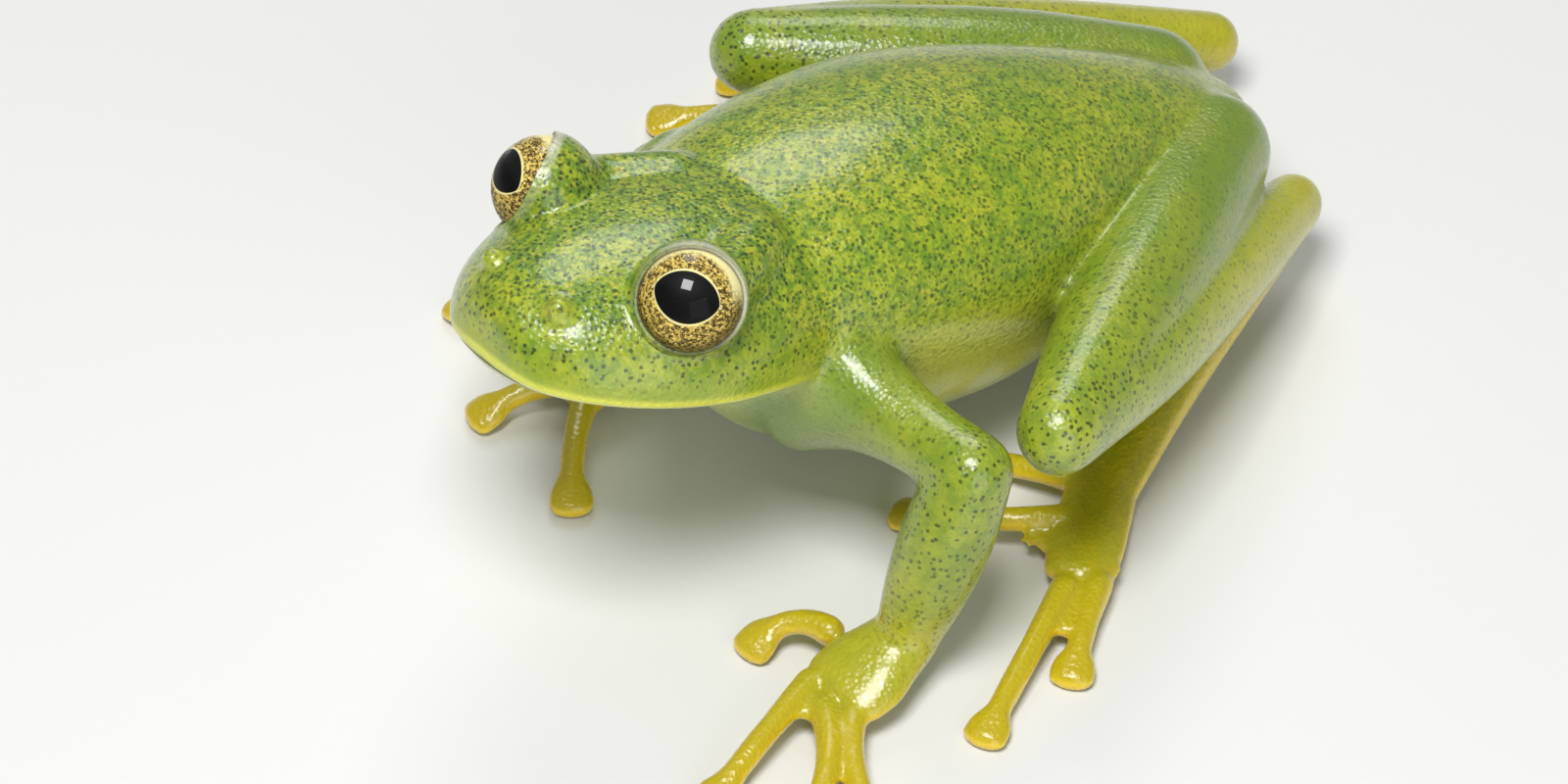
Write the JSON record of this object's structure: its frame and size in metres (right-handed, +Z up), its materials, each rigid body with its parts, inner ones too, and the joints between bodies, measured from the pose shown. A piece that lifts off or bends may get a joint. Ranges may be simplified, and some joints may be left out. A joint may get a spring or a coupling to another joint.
{
  "type": "glass frog",
  "caption": "Small green tree frog at rest with folded hind legs, its near arm raised at the elbow, and long webbed digits with disc tips; a still life-size model.",
  "frame": {"origin": "the middle of the frog's length and width, on the floor under it", "axes": "+Z up, -Y the way the snout points, +X towards the frog's own left side"},
  "size_m": [0.0256, 0.0276, 0.012],
  "materials": {
    "dorsal_skin": "wet leaf-green skin with fine dark stippling and yellow flecks",
    "limb_skin": "wet translucent yellow-green skin with separate dark dots",
    "digit_skin": "wet translucent amber-yellow skin, brighter at the edges",
    "iris": "clear glossy eye with a gold reticulated iris and a black pupil"
  },
  "bodies": {
    "root": {"head": "dorsal_skin", "torso": "dorsal_skin", "eye_left": "iris", "eye_right": "iris", "upper_arm_left": "limb_skin", "forearm_left": "limb_skin", "hand_left": "digit_skin", "finger_1_left": "digit_skin", "finger_2_left": "digit_skin", "finger_3_left": "digit_skin", "finger_4_left": "digit_skin", "thigh_left": "limb_skin", "shank_left": "limb_skin", "tarsus_left": "limb_skin", "foot_left": "digit_skin", "toe_1_left": "digit_skin", "toe_2_left": "digit_skin", "toe_3_left": "digit_skin", "toe_4_left": "digit_skin", "toe_5_left": "digit_skin", "upper_arm_right": "limb_skin", "forearm_right": "limb_skin", "hand_right": "digit_skin", "finger_1_right": "digit_skin", "finger_2_right": "digit_skin", "finger_3_right": "digit_skin", "finger_4_right": "digit_skin", "thigh_right": "limb_skin", "shank_right": "limb_skin", "tarsus_right": "limb_skin", "foot_right": "digit_skin", "toe_1_right": "digit_skin", "toe_2_right": "digit_skin", "toe_3_right": "digit_skin", "toe_4_right": "digit_skin", "toe_5_right": "digit_skin"}
  },
  "joints": []
}
